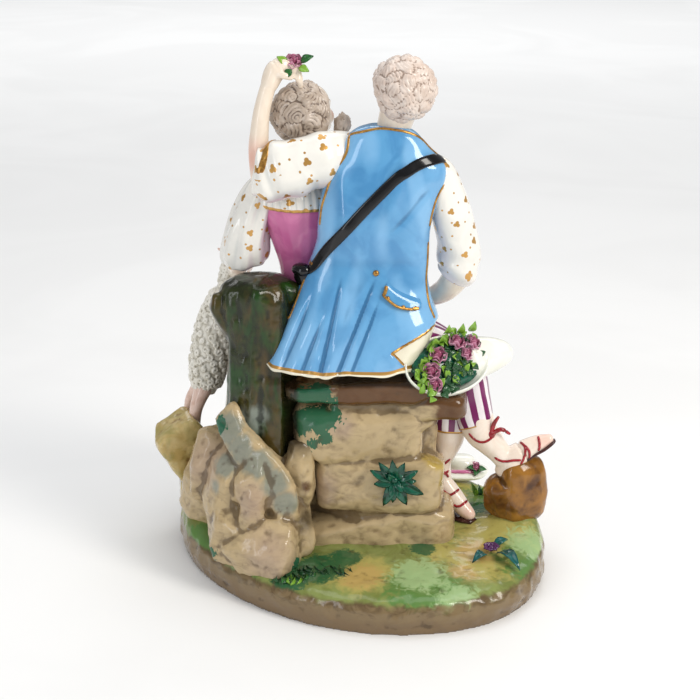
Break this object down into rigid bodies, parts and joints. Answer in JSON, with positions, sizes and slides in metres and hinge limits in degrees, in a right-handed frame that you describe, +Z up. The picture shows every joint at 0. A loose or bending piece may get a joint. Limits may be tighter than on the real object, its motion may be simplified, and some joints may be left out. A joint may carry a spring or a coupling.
{
  "type": "courting couple figurine",
  "caption": "Glazed porcelain figure group: a seated man and woman in pastoral dress on a rocky mound, with a tree stump, a lamb and a hat full of roses.",
  "frame": {"origin": "centre of the mound's underside, on the surface that it stands on", "axes": "+Z up, from the table to the man's curls, the longest extent; -Y the side that the couple face; X along the long side of the oval mound, with the lamb and the woman at +X"},
  "size_m": [0.1953, 0.1604, 0.2408],
  "materials": {
    "porcelain": "glossy glaze over enamel painting and gilding"
  },
  "bodies": {
    "root": {"courting_couple": "porcelain"}
  },
  "joints": []
}
